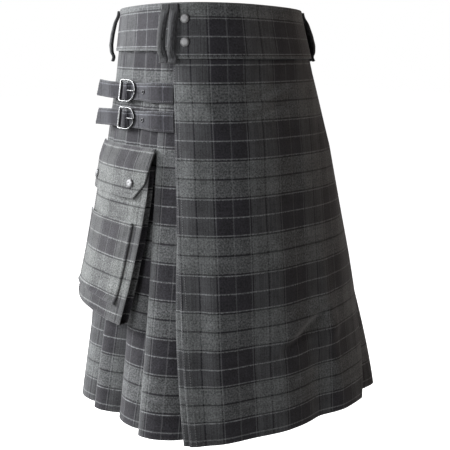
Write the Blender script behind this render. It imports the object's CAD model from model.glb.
import math

import bmesh
import bpy
import numpy as np
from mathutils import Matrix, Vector


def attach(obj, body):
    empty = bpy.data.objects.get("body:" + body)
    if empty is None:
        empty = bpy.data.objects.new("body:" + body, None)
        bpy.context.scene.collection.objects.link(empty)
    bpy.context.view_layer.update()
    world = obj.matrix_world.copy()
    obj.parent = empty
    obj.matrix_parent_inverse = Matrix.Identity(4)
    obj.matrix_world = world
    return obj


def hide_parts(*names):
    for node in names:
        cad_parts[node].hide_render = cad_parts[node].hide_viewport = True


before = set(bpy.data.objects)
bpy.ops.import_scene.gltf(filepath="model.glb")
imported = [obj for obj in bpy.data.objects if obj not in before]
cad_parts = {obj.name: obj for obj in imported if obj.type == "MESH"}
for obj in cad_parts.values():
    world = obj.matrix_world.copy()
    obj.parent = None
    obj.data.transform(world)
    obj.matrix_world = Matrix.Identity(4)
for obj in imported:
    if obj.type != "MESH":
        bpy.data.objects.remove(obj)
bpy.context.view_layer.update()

# Camera
# A person stands off the wearer's right front and looks a little down at the
# kilt, near enough for the rim to curve up and the hem to curve down.
CAMERA_AT = (-0.833, -1.027, -0.024)
CAMERA_DOWN = 12.5  # degrees below level
CAMERA_TURN = -40.0  # degrees about Z from looking along +Y
CAMERA_LENS, CAMERA_SENSOR = 65.5, 36.0  # millimetres
CAMERA_SEES = 60.0  # metres, past the far corners of the floor

camera_data = bpy.data.cameras.new("camera")
camera_data.lens = CAMERA_LENS
camera_data.sensor_width = CAMERA_SENSOR
camera_data.clip_end = CAMERA_SEES
camera = bpy.data.objects.new("camera", camera_data)
camera.location = CAMERA_AT
camera.rotation_euler = (math.radians(90.0 - CAMERA_DOWN), 0.0, math.radians(CAMERA_TURN))
bpy.context.collection.objects.link(camera)
bpy.context.scene.camera = camera

# Floor
# Plain pale studio floor, well below the kilt, which nobody wears and which
# keeps the shape that it has on a figure.
FLOOR_Z = -1.05
FLOOR_HALF = 14.0
FLOOR_GREY, FLOOR_DULL = 0.60, 0.9

floor_mesh = bpy.data.meshes.new("studio_floor")
floor_mesh.from_pydata(
    [
        (-FLOOR_HALF, -FLOOR_HALF, FLOOR_Z),
        (FLOOR_HALF, -FLOOR_HALF, FLOOR_Z),
        (FLOOR_HALF, FLOOR_HALF, FLOOR_Z),
        (-FLOOR_HALF, FLOOR_HALF, FLOOR_Z),
    ],
    [],
    [(0, 1, 2, 3)],
)
floor = bpy.data.objects.new("studio_floor", floor_mesh)
bpy.context.collection.objects.link(floor)
floor_paint = bpy.data.materials.new("studio_floor")
floor_paint.use_nodes = True
floor_tree = floor_paint.node_tree
floor_skin = floor_tree.nodes["Principled BSDF"]
floor_skin.inputs["Base Color"].default_value = (FLOOR_GREY, FLOOR_GREY, FLOOR_GREY, 1.0)
floor_skin.inputs["Roughness"].default_value = FLOOR_DULL
floor_skin.inputs["Emission Color"].default_value = (1.0, 1.0, 1.0, 1.0)
floor_sight = floor_tree.nodes.new("ShaderNodeLightPath")
# the camera sees it white, and the kilt is lit only by its grey
floor_tree.links.new(floor_sight.outputs["Is Camera Ray"], floor_skin.inputs["Emission Strength"])
floor_mesh.materials.append(floor_paint)

# Light
# A strong soft light behind the wearer's right, a weaker one beside it and a
# faint warm one on the left, in a dim room that looks white to the camera. The
# front and the wearer's left side stay in shade, as in the photo.
LIGHTS = [
    # name, place, size, watts, colour
    ("back_light", (-1.50, 1.75, 0.75), 1.2, 160.0, (0.97, 0.985, 1.0)),
    ("side_light", (-2.45, -0.26, 0.65), 1.2, 47.0, (0.98, 0.99, 1.0)),
    ("warm_light", (1.9, -0.7, 0.6), 1.0, 8.0, (1.0, 0.80, 0.66)),
]
LIGHTS_AIM = (0.0, 0.0, -0.28)  # the kilt's middle
ROOM_LIGHT = (0.080, 0.076, 0.074)

for light_name, place, size, watts, colour in LIGHTS:
    lamp_data = bpy.data.lights.new(light_name, "AREA")
    lamp_data.shape = "DISK"
    lamp_data.size = size
    lamp_data.energy = watts
    lamp_data.color = colour
    lamp = bpy.data.objects.new(light_name, lamp_data)
    lamp.location = place
    aim = Vector(LIGHTS_AIM) - Vector(place)
    lamp.rotation_euler = aim.to_track_quat("-Z", "Y").to_euler()
    bpy.context.collection.objects.link(lamp)

room = bpy.data.worlds.new("white_room")
room.use_nodes = True
room_tree = room.node_tree
room_sight = room_tree.nodes.new("ShaderNodeLightPath")
room_mix = room_tree.nodes.new("ShaderNodeMix")
room_mix.data_type = "RGBA"
room_tree.links.new(room_sight.outputs["Is Camera Ray"], room_mix.inputs[0])
room_mix.inputs[6].default_value = ROOM_LIGHT + (1.0,)
room_mix.inputs[7].default_value = (1.0, 1.0, 1.0, 1.0)
room_tree.links.new(room_mix.outputs[2], room_tree.nodes["Background"].inputs["Color"])
bpy.context.scene.world = room
bpy.context.scene.view_settings.view_transform = "Standard"

# Front apron
# The flat front panel of medium wool twill in a grey and charcoal check. Its
# right edge is a folded, topstitched edge that hangs free; its left edge is
# turned in over the first pleat. The waistband holds its top.
HEM, RIM = -0.5775, 0.0325
WOOL = 0.0016  # one thickness of the wool
CHECK_SIZE = 0.104  # side of the check's square
# the rim falls from where the apron laps over towards the other side
RIM_FALL_AZ, RIM_FALL, RIM_FALL_FROM = -50.0, 0.014, -0.070
OVAL = 2.64  # exponent of the oval sections
# height, half width, half depth, shift of the middle in X and Y
SECTIONS = np.array(
    [
        (-0.5775, 0.2334, 0.2028, 0.0060, -0.0370),
        (-0.3600, 0.1949, 0.1842, 0.0039, -0.0238),
        (-0.1800, 0.1636, 0.1649, 0.0021, -0.0129),
        (-0.0700, 0.1434, 0.1414, 0.0010, -0.0062),
        (0.0325, 0.1284, 0.1240, 0.0000, 0.0000),
    ]
)
PLEAT_TOP = -0.030  # the pleats are pressed flat down to here
APRON_TOP = -0.040
# height and azimuth of the apron's free right edge
APRON_RIGHT = np.array(
    [
        (-0.5775, -53.0),
        (-0.4620, -55.5),
        (-0.3500, -57.5),
        (-0.1780, -59.5),
        (-0.1020, -61.0),
        (-0.0400, -61.5),
    ]
)
APRON_LEFT_WAIST, APRON_LEFT_HEM = 63.0, 30.0
APRON_RETURN = 0.022  # cloth turned in at the left edge
APRON_TIGHT = 0.0026  # how far the lapped corner at the waist rises to its band
APRON_LIFT = 0.011  # how far the lower right corner stands out
APRON_SWING = 0.006  # how far the left edge stands out at the hem
APRON_FLUTTER = 0.4  # where its small unevenness starts
# height of each light line in the charcoal stripes, and its place in the cloth
CHECK_HEIGHTS = np.array(
    [
        (-0.670, -6 * CHECK_SIZE),
        (-0.569, -5 * CHECK_SIZE),
        (-0.472, -4 * CHECK_SIZE),
        (-0.368, -3 * CHECK_SIZE),
        (-0.262, -2 * CHECK_SIZE),
        (-0.157, -CHECK_SIZE),
        (-0.053, 0.0),
        (0.051, CHECK_SIZE),
    ]
)
# height, and how far the lengthwise light line lies from the middle of the front
CHECK_LEAN = np.array(
    [
        (-0.5775, -0.133),
        (-0.4740, -0.1263),
        (-0.3690, -0.1167),
        (-0.1970, -0.1005),
        (-0.0470, -0.0780),
        (0.0325, -0.0700),
    ]
)
# soft creases: azimuth and height of both ends, width, how far they stand out
APRON_CREASES = [
    (-47.5, -0.600, -50.0, -0.330, 0.016, -0.0040),
    (-41.0, -0.600, -43.0, -0.380, 0.020, 0.0030),
    (-30.0, -0.600, -26.0, -0.400, 0.026, -0.0030),
    (-14.0, -0.600, -9.0, -0.300, 0.030, 0.0032),
    (4.0, -0.600, 2.0, -0.440, 0.020, -0.0036),
    (17.0, -0.600, 14.0, -0.330, 0.018, 0.0034),
    # a diagonal break at the lower left of the apron
    (14.0, -0.404, -16.0, -0.450, 0.010, 0.0034),
    (13.0, -0.421, -18.0, -0.468, 0.011, -0.0042),
    (22.0, -0.440, -4.0, -0.500, 0.012, 0.0024),
    # pulls that start near the belt loops at the waist
    (17.0, -0.080, -24.0, -0.119, 0.009, 0.0036),
    (21.0, -0.070, -20.0, -0.104, 0.008, -0.0032),
    (12.0, -0.096, -28.0, -0.136, 0.009, -0.0024),
    (-34.0, -0.062, -10.0, -0.088, 0.008, -0.0018),
    (-50.0, -0.062, -38.0, -0.150, 0.010, 0.0014),
    (36.0, -0.060, 22.0, -0.150, 0.012, 0.0024),
]


def ramp(low, high, value):
    """0 at low, 1 at high and soft at both ends."""
    t = np.clip((np.asarray(value, float) - low) / (high - low), 0.0, 1.0)
    return t * t * (3.0 - 2.0 * t)


def mix(a, b, t):
    return a + (b - a) * t


def opened(z):
    """0 where the pleats are pressed at the waist, 1 where they are open at the hem."""
    return np.clip((PLEAT_TOP - z) / (PLEAT_TOP - HEM), 0.0, 2.0) ** 1.8


def at(az, z, depth):
    """Point of the kilt's outer section at that azimuth and height, moved in by depth."""
    az, z, depth = np.broadcast_arrays(
        np.asarray(az, float), np.asarray(z, float), np.asarray(depth, float)
    )
    half_x, half_y, shift_x, shift_y = (
        np.interp(z, SECTIONS[:, 0], SECTIONS[:, k]) for k in (1, 2, 3, 4)
    )
    dx, dy = np.sin(np.radians(az)), -np.cos(np.radians(az))
    reach = (np.abs(dx / half_x) ** OVAL + np.abs(dy / half_y) ** OVAL) ** (-1.0 / OVAL)
    nx = np.sign(dx) * np.abs(dx * reach / half_x) ** (OVAL - 1.0) / half_x
    ny = np.sign(dy) * np.abs(dy * reach / half_y) ** (OVAL - 1.0) / half_y
    size = np.hypot(nx, ny)
    x = shift_x + dx * reach - nx / size * depth
    y = shift_y + dy * reach - ny / size * depth
    away = 0.5 - 0.5 * np.cos(np.radians(az - RIM_FALL_AZ))
    return np.stack([x, y, z - RIM_FALL * away * ramp(RIM_FALL_FROM, RIM, z)], axis=-1)


def per_degree(z):
    """Metres round the kilt for one degree, at that height."""
    half = np.interp(z, SECTIONS[:, 0], (SECTIONS[:, 1] + SECTIONS[:, 2]) / 2.0)
    return np.radians(half * 1.05)


CLOTH_CREASE = 62.0  # degrees past which an edge of the mesh shows as a corner


def along(points):
    """Distance along the last but one axis of an array of points."""
    step = np.linalg.norm(np.diff(points, axis=-2), axis=-1)
    zero = np.zeros(step.shape[:-1] + (1,))
    return np.concatenate([zero, np.cumsum(step, axis=-1)], axis=-1)


def stations(first, last, step, soft=0.0009):
    """Even places from first to last, with close ones at both ends for a soft edge."""
    count = max(2, int(round(abs(last - first) / step)))
    even = np.linspace(first, last, count + 1)
    close = math.copysign(soft, last - first)
    ends = [first, first + close * 0.35, first + close]
    return np.array(ends + list(even[1:-1]) + [last - close, last - close * 0.35, last])


def creases(table, az, z):
    """How far soft ridges and troughs stand out at a place. Each fades at its ends."""
    total = np.zeros(np.broadcast(az, z).shape)
    unit = per_degree(z)
    for az0, z0, az1, z1, wide, out in table:
        ax, ay = (az - az0) * unit, z - z0
        bx, by = (az1 - az0) * unit, z1 - z0
        length = bx * bx + by * by
        t = (ax * bx + ay * by) / length
        off = np.abs(ax * by - ay * bx) / np.sqrt(length)
        fade = ramp(-0.15, 0.2, t) * ramp(1.25, 0.7, t)
        total = total + out * fade * np.exp(-((off / wide) ** 2))
    return total


def flutter(az, z, start):
    """Slight unevenness of hanging cloth, the same on each run."""
    a = np.sin(az * 0.21 + z * 17.0 + start) * np.sin(z * 31.0 - az * 0.07 + start * 2.0)
    b = np.sin(az * 0.53 - z * 23.0 + start * 3.0) * np.sin(z * 11.0 + az * 0.11)
    return 0.00035 * a + 0.00025 * b


def cloth_mesh(name, verts, faces, uv, worn):
    """Smooth piece with the cloth's own coordinates, and how worn each point is."""
    mesh = bpy.data.meshes.new(name)
    mesh.from_pydata(np.asarray(verts, float).tolist(), [], faces)
    layer = mesh.uv_layers.new(name="cloth")
    index = np.empty(len(mesh.loops), dtype=np.int32)
    mesh.loops.foreach_get("vertex_index", index)
    layer.data.foreach_set("uv", np.asarray(uv, np.float32)[index].ravel())
    attribute = mesh.attributes.new("worn", "FLOAT", "POINT")
    attribute.data.foreach_set("value", np.asarray(worn, np.float32))
    mesh.polygons.foreach_set("use_smooth", np.ones(len(mesh.polygons), dtype=bool))
    mesh.set_sharp_from_angle(angle=math.radians(CLOTH_CREASE))
    piece = bpy.data.objects.new(name, mesh)
    bpy.context.collection.objects.link(piece)
    return piece


def shell(name, middle, uv, thick):
    """Closed thin shell of cloth on a grid of points, with soft edges all round."""
    middle, uv = np.asarray(middle, float), np.asarray(uv, float)
    rows, cols = middle.shape[:2]
    across = np.gradient(middle, axis=1)
    down = np.gradient(middle, axis=0)
    normal = np.cross(across, down)
    normal /= np.maximum(np.linalg.norm(normal, axis=-1, keepdims=True), 1e-12)
    row_soft, col_soft = np.ones(rows), np.ones(cols)
    row_soft[[0, -1]], row_soft[[1, -2]] = 0.35, 0.8
    col_soft[[0, -1]], col_soft[[1, -2]] = 0.35, 0.8
    half = (np.minimum.outer(row_soft, col_soft) * thick / 2.0)[..., None]
    outer, inner = middle + normal * half, middle - normal * half
    count = rows * cols
    verts = np.concatenate([outer.reshape(-1, 3), inner.reshape(-1, 3)])
    place = np.arange(count).reshape(rows, cols)
    a, b = place[:-1, :-1].ravel(), place[:-1, 1:].ravel()
    c, d = place[1:, 1:].ravel(), place[1:, :-1].ravel()
    faces = [np.stack([a, b, c, d], 1), np.stack([d, c, b, a], 1) + count]
    for edge in (place[0, ::-1], place[-1], place[:, 0], place[::-1, -1]):
        faces.append(np.stack([edge[:-1], edge[1:], edge[1:] + count, edge[:-1] + count], 1))
    faces = np.concatenate(faces).tolist()
    edge_row = np.minimum(np.arange(rows), np.arange(rows)[::-1])
    edge_col = np.minimum(np.arange(cols), np.arange(cols)[::-1])
    near = np.minimum.outer(edge_row, edge_col).ravel()
    worn = np.clip(1.0 - near / 3.0, 0.0, 1.0)
    return cloth_mesh(
        name,
        verts,
        faces,
        np.concatenate([uv.reshape(-1, 2)] * 2),
        np.concatenate([worn, worn]),
    )


def outside(middle, uv):
    """The grid with its columns turned round if its faces would look inwards."""
    across = np.gradient(middle, axis=1)
    down = np.gradient(middle, axis=0)
    normal = np.cross(across, down)
    away = middle - np.array([0.0, -0.02, 0.0])
    away[..., 2] = 0.0
    if float((normal * away).sum()) < 0:
        return middle[:, ::-1], uv[:, ::-1]
    return middle, uv


def check_v(z):
    return np.interp(z, CHECK_HEIGHTS[:, 0], CHECK_HEIGHTS[:, 1])


def apron_right(z):
    return np.interp(z, APRON_RIGHT[:, 0], APRON_RIGHT[:, 1])


def apron_left(z):
    return mix(APRON_LEFT_WAIST, APRON_LEFT_HEM, opened(z))


def apron_depth(az, z):
    corner = ramp(-36, -52, az) * ramp(-0.110, -0.044, z) * APRON_TIGHT
    loose = ramp(-38, -53, az) * ramp(-0.350, HEM, z) * APRON_LIFT
    swing = ramp(2, 28, az) * ramp(-0.430, HEM, z) * APRON_SWING
    return WOOL / 2 - corner - loose - swing


# width on the figure and width in the cloth: it is eased in at the left hip
CHECK_STRETCH = [(-1.0, 0.100, 0.190, 1.100), (-1.0, 0.100, 0.206, 1.122)]


def check_u(az, z):
    """Cloth width from the lengthwise light line, the same on all parts of the front."""
    turn = np.linspace(-200.0, 200.0, 401)
    total = np.empty(np.broadcast(az, z).shape)
    az = np.broadcast_to(az, total.shape)
    z = np.broadcast_to(z, total.shape)
    for i in range(total.shape[0]):
        height = z[i, 0]
        length = along(at(turn, height, 0.0))
        middle = np.interp(0.0, turn, length)
        place = np.interp(az[i], turn, length) - middle
        place = place - np.interp(height, CHECK_LEAN[:, 0], CHECK_LEAN[:, 1])
        total[i] = np.interp(place, CHECK_STRETCH[0], CHECK_STRETCH[1])
    return total


# the check's chart, one half of its square: millimetres from the middle of the
# charcoal and the wool there, with blurred edges between the stripes
CHECK_HALF = CHECK_SIZE * 500.0
WEFT_SHOWS = 0.64  # share of the face that the crosswise yarns cover
SILVER = (0.150, 0.153, 0.158)
CHARCOAL = (0.0185, 0.0174, 0.0212)
GREY = (0.095, 0.0985, 0.0995)
BLACK = (0.0055, 0.0052, 0.0066)
CHECK_CHART = [
    (0.0, SILVER),
    (0.5, SILVER),
    (1.2, CHARCOAL),
    (23.5, CHARCOAL),
    (24.2, SILVER),
    (25.2, SILVER),
    (25.9, BLACK),
    (27.3, BLACK),
    (28.0, GREY),
    (50.4, GREY),
    (51.2, BLACK),
    (52.0, BLACK),
]


def node(tree, kind, **settings):
    made = tree.nodes.new(kind)
    for key, value in settings.items():
        setattr(made, key, value)
    return made


def feed(tree, socket, value):
    """Links a socket to another one, or sets it to a plain value."""
    if isinstance(value, bpy.types.NodeSocket):
        tree.links.new(value, socket)
    else:
        socket.default_value = value


def calc(tree, operation, *values):
    made = node(tree, "ShaderNodeMath", operation=operation)
    for i, value in enumerate(values):
        feed(tree, made.inputs[i], value)
    return made.outputs[0]


def blend_colours(tree, kind, factor, one, two):
    made = node(tree, "ShaderNodeMix", data_type="RGBA", blend_type=kind)
    feed(tree, made.inputs[0], factor)
    feed(tree, made.inputs[6], one)
    feed(tree, made.inputs[7], two)
    return made.outputs[2]


def scaled(tree, colour, amount):
    made = node(tree, "ShaderNodeVectorMath", operation="SCALE")
    feed(tree, made.inputs[0], colour)
    feed(tree, made.inputs["Scale"], amount)
    return made.outputs[0]


def grain(tree, place, scale, detail, dimensions="2D"):
    """Noise across the cloth, or along one way of it, from 0 to 1."""
    made = node(tree, "ShaderNodeTexNoise", noise_dimensions=dimensions)
    feed(tree, made.inputs["W" if dimensions == "1D" else "Vector"], place)
    made.inputs["Scale"].default_value = scale
    made.inputs["Detail"].default_value = detail
    return made.outputs[0]


def check_group():
    """Woven check: colour and height of a 2/2 twill whose warp and weft share one chart."""
    tree = bpy.data.node_groups.new("woven_check", "ShaderNodeTree")
    face = tree.interface
    face.new_socket("Cloth", in_out="INPUT", socket_type="NodeSocketVector")
    for key, value in [("Square", CHECK_SIZE), ("Rib", 0.0021), ("Heather", 0.7)]:
        face.new_socket(key, in_out="INPUT", socket_type="NodeSocketFloat").default_value = value
    face.new_socket("Colour", in_out="OUTPUT", socket_type="NodeSocketColor")
    face.new_socket("Height", in_out="OUTPUT", socket_type="NodeSocketFloat")
    start = node(tree, "NodeGroupInput")
    end = node(tree, "NodeGroupOutput")
    place = start.outputs["Cloth"]
    split = node(tree, "ShaderNodeSeparateXYZ")
    feed(tree, split.inputs[0], place)
    fibre = grain(tree, place, 900.0, 3.0)
    slub = grain(tree, place, 380.0, 2.0)
    cloud = grain(tree, place, 55.0, 4.0)
    yarns = []
    for axis in (0, 1):
        # uneven beating of the loom makes the stripes waver by a yarn
        wavered = calc(tree, "MULTIPLY_ADD", slub, 0.0012, split.outputs[axis])
        part = calc(tree, "FRACT", calc(tree, "DIVIDE", wavered, start.outputs["Square"]))
        centred = calc(tree, "MULTIPLY_ADD", part, 2.0, -1.0)
        away = calc(tree, "SUBTRACT", 1.0, calc(tree, "ABSOLUTE", centred))
        chart = node(tree, "ShaderNodeValToRGB")
        stops = chart.color_ramp.elements
        stops[0].position, stops[0].color = 0.0, CHECK_CHART[0][1] + (1.0,)
        stops[1].position, stops[1].color = 1.0, CHECK_CHART[-1][1] + (1.0,)
        for begins, wool_colour in CHECK_CHART[1:-1]:
            stops.new(begins / CHECK_HALF).color = wool_colour + (1.0,)
        feed(tree, chart.inputs[0], away)
        # each yarn is spun a little paler or darker than the next, the warp more so
        streak = grain(tree, split.outputs[axis], 620.0, 2.0, "1D")
        broad = grain(tree, split.outputs[axis], 140.0, 2.0, "1D")
        fine = calc(tree, "MULTIPLY_ADD", streak, 1.5 - 0.9 * axis, 0.25 + 0.45 * axis)
        coarse = calc(tree, "MULTIPLY_ADD", broad, 1.2 - 0.6 * axis, 0.4 + 0.3 * axis)
        yarns.append(scaled(tree, chart.outputs[0], calc(tree, "MULTIPLY", fine, coarse)))
    diagonal = calc(tree, "ADD", split.outputs[0], split.outputs[1])
    ribs = calc(tree, "DIVIDE", diagonal, start.outputs["Rib"])
    wave = calc(tree, "SINE", calc(tree, "MULTIPLY", ribs, math.tau))
    shown = calc(tree, "MULTIPLY_ADD", wave, 0.10, WEFT_SHOWS - 0.3)
    over = calc(tree, "MULTIPLY_ADD", slub, 0.6, shown)
    over = calc(tree, "MINIMUM", calc(tree, "MAXIMUM", over, 0.0), 1.0)
    cloth = blend_colours(tree, "MIX", over, yarns[0], yarns[1])
    shade = calc(tree, "MULTIPLY_ADD", fibre, 1.5, calc(tree, "MULTIPLY_ADD", slub, 1.8, -1.65))
    shade = calc(tree, "ADD", shade, calc(tree, "MULTIPLY_ADD", cloud, 0.8, -0.4))
    shade = calc(tree, "MULTIPLY_ADD", shade, start.outputs["Heather"], 1.0)
    feed(tree, end.inputs["Colour"], scaled(tree, cloth, shade))
    feed(tree, end.inputs["Height"], calc(tree, "ADD", calc(tree, "MULTIPLY", wave, 0.5), fibre))
    return tree


WOVEN_CHECK = check_group()
WORN_WOOL, WORN_SHARE = (0.13, 0.13, 0.135, 1.0), 0.22


def wool(name, tint=(1.0, 1.0, 1.0), shade=1.0, heather=1.0):
    """Woollen cloth in the check, paler where its edges are worn."""
    material = bpy.data.materials.new(name)
    material.use_nodes = True
    tree = material.node_tree
    skin = tree.nodes["Principled BSDF"]
    uv = node(tree, "ShaderNodeUVMap", uv_map="cloth")
    check = node(tree, "ShaderNodeGroup", node_tree=WOVEN_CHECK)
    feed(tree, check.inputs["Cloth"], uv.outputs[0])
    check.inputs["Heather"].default_value = heather
    worn = node(tree, "ShaderNodeAttribute", attribute_name="worn")
    tone = (tint[0] * shade, tint[1] * shade, tint[2] * shade, 1.0)
    toned = blend_colours(tree, "MULTIPLY", 1.0, check.outputs["Colour"], tone)
    amount = calc(tree, "MULTIPLY", worn.outputs["Fac"], WORN_SHARE)
    rubbed = blend_colours(tree, "MIX", amount, toned, WORN_WOOL)
    feed(tree, skin.inputs["Base Color"], rubbed)
    skin.inputs["Roughness"].default_value = 0.88
    skin.inputs["Specular IOR Level"].default_value = 0.22
    skin.inputs["Sheen Weight"].default_value = 0.25
    skin.inputs["Sheen Roughness"].default_value = 0.45
    bump = node(tree, "ShaderNodeBump")
    bump.inputs["Strength"].default_value = 0.35
    bump.inputs["Distance"].default_value = 0.0005
    feed(tree, bump.inputs["Height"], check.outputs["Height"])
    feed(tree, skin.inputs["Normal"], bump.outputs[0])
    return material


def cloth(piece, nodes, slot, material, **sheet):
    """Gives a piece of cloth its wool, its place in the frame and its cut."""
    piece.data.materials.append(material)
    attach(piece, "root")
    if nodes:
        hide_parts(*nodes)


def apron_stands(az, z):
    """How far the apron's creases stand out. They die out under the waistband."""
    return creases(APRON_CREASES, az, z) * ramp(-0.05, -0.12, z) + flutter(az, z, APRON_FLUTTER)


apron_rows = stations(APRON_TOP, HEM, 0.0032)
apron_t = stations(0.0, 1.0, 1.0 / 150, 0.0030)
apron_z = apron_rows[:, None] + 0.0 * apron_t[None, :]
apron_az = mix(apron_right(apron_z), apron_left(apron_z), apron_t[None, :])
apron_out = apron_stands(apron_az, apron_z)
apron_face = at(apron_az, apron_z, apron_depth(apron_az, apron_z) - apron_out)
apron_uv = np.stack([check_u(apron_az, apron_z), check_v(apron_z)], -1)
# the cloth turned in behind the left edge
apron_gap = mix(0.0026, 0.006, opened(apron_z[:, :1]))
apron_end, apron_end_z = apron_left(apron_z[:, :1]), apron_z[:, :1]
turn_s = np.array([[0.25, 0.55, 0.8, 1.0]])
turn_az = apron_end + apron_gap * np.sin(turn_s * math.pi) / 2 / per_degree(apron_end_z)
turn_from = apron_depth(apron_end, apron_end_z) - apron_out[:, -1:]
turn_in = mix(turn_from, WOOL / 2 + apron_gap, (1 - np.cos(turn_s * math.pi)) / 2)
back_s = np.linspace(0.15, 1.0, 6)[None, :]
back_az = apron_end - APRON_RETURN * back_s / per_degree(apron_end_z)
back_in = WOOL / 2 + apron_gap + 0.0 * back_az
tail_az = np.concatenate([turn_az, back_az], 1)
tail_in = np.concatenate([turn_in, back_in], 1)
tail_z = apron_end_z + 0.0 * tail_az
tail = at(tail_az, tail_z, tail_in)
tail_u = apron_uv[:, -1:, 0] + along(np.concatenate([apron_face[:, -1:], tail], 1))[:, 1:]
tail_uv = np.stack([tail_u, check_v(tail_z)], -1)
apron_mid = np.concatenate([apron_face, tail], 1)
apron_uv = np.concatenate([apron_uv, tail_uv], 1)
apron = shell("apron_cloth", *outside(apron_mid, apron_uv), WOOL)
APRON_WOOL = wool("apron_wool")
cloth(
    apron,
    ["front_apron"],
    "tartan_wool",
    APRON_WOOL,
    flat=(0.385, 0.548),
    held="hung",
    rests_on=["waistband_cloth"],
    area=0.192,
)

# Edge facing
# A strip of the same wool behind the apron's free edge. It shows beyond it
# towards the hem, where it has slipped out and its own fold catches light.
FACING_TOP, FACING_WIDTH, FACING_SHOWS, FACING_BEHIND = -0.240, 0.040, 0.0085, 0.0009
FACING_OUT = -0.430  # from here down it shows in full
FACING_CHECK_SHIFT = 0.018


def facing_right(z):
    show = FACING_SHOWS * ramp(FACING_TOP, FACING_OUT, z)
    return apron_right(z) - show / per_degree(z)


def facing_depth(az, z):
    stands = creases(APRON_CREASES, az, z) + flutter(az, z, APRON_FLUTTER)
    return apron_depth(az, z) + WOOL + FACING_BEHIND - stands


facing_rows = stations(FACING_TOP, HEM, 0.0035)
facing_t = stations(0.0, 1.0, 1.0 / 14, 0.02)
facing_z = facing_rows[:, None] + 0.0 * facing_t[None, :]
facing_inner = apron_right(facing_z) + FACING_WIDTH / per_degree(facing_z)
facing_az = mix(facing_right(facing_z), facing_inner, facing_t[None, :])
facing_mid = at(facing_az, facing_z, facing_depth(facing_az, facing_z))
facing_uv = np.stack([check_u(facing_az, facing_z) + FACING_CHECK_SHIFT, check_v(facing_z)], -1)
facing = shell("facing_cloth", *outside(facing_mid, facing_uv), WOOL)
cloth(
    facing,
    ["apron_edge_facing"],
    "tartan_wool",
    APRON_WOOL,
    flat=(0.048, 0.345),
    held="hung",
    rests_on=["apron_cloth"],
    area=0.0152,
)

# Under apron
# The plain panel that lies against the body behind the front apron, of the
# same wool. Only its lower edge and its inside can be seen.
UNDER_TOP, UNDER_RIGHT, UNDER_WAIST, UNDER_HEM = -0.028, -51.1, 54.0, 26.0
UNDER_CHECK_SHIFT = 0.03


def start_depth(z):
    """Depth of the first pleat's hidden start, which the under apron meets."""
    return mix(0.0066, 0.022, opened(z))


under_rows = stations(UNDER_TOP, HEM, 0.006)
under_t = stations(0.0, 1.0, 1.0 / 70, 0.004)
under_z = under_rows[:, None] + 0.0 * under_t[None, :]
under_left = mix(UNDER_WAIST, UNDER_HEM, opened(under_z))
under_az = mix(UNDER_RIGHT, under_left, under_t[None, :])
under_plain = mix(0.0049, 0.013, opened(under_z))
under_tuck = mix(0.0102, 0.030, opened(under_z))
under_near = ramp(-36, UNDER_RIGHT, under_az)
under_far = ramp(0.0, 1.0, (under_az - (under_left - 22)) / 16.0)
under_in = under_plain + (start_depth(under_z) - under_plain) * under_near
under_in = under_in + (under_tuck - under_plain) * under_far
under_mid = at(under_az, under_z, under_in)
under_uv = np.stack([check_u(under_az, under_z) + UNDER_CHECK_SHIFT, check_v(under_z)], -1)
under = shell("under_apron_cloth", *outside(under_mid, under_uv), WOOL)
UNDER_WOOL = wool("under_wool", tint=(1.0, 0.94, 0.88), shade=0.8)
cloth(
    under,
    ["under_apron"],
    "tartan_wool",
    UNDER_WOOL,
    flat=(0.35, 0.556),
    held="hung",
    rests_on=["waistband_cloth"],
    area=0.168,
)

# Pleats
# Knife pleats in one length of wool for each side, nine a side, sewn flat
# into the waistband and left to fan out. Each fold points to the back.
PLEAT_CLOTH = 0.086  # cloth in one pleat
LAYER_WAIST, LAYER_HEM = 0.0026, 0.010  # from one layer of a pleat to the next
SEAM = 0.0003
# each fold's azimuth at the waist and at the hem, how far it stands out at the
# hem, the check's place on the fold, and how it sways
RIGHT_FOLDS = [
    (70.0, 72.0, 0.008, 0.0380, 0.3),
    (83.5, 88.5, -0.009, 0.0200, 0.5),
    (97.2, 101.8, 0.003, 0.0020, -0.5),
    (110.9, 117.5, 0.003, 0.0880, 0.6),
    (124.6, 132.8, -0.002, 0.0700, 0.4),
    (138.2, 148.0, 0.004, 0.0520, -0.5),
    (151.8, 163.2, -0.003, 0.0340, 0.4),
    (165.4, 178.2, 0.003, 0.0160, 0.5),
    (178.8, 191.4, 0.001, 0.1020, -0.3),
]
LEFT_FOLDS = [
    (70.0, 45.6, 0.008, 0.0560, 0.4),
    (83.5, 60.8, 0.005, 0.0380, -0.5),
    (97.2, 75.9, -0.003, 0.0200, 0.6),
    (110.9, 91.0, 0.004, 0.0020, 0.4),
    (124.6, 106.1, -0.002, 0.0880, -0.4),
    (138.2, 121.2, 0.005, 0.0700, 0.6),
    (151.8, 136.3, 0.000, 0.0520, -0.5),
    (165.4, 151.4, 0.004, 0.0340, 0.4),
    (178.8, 164.4, 0.001, 0.0160, 0.3),
]
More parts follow.
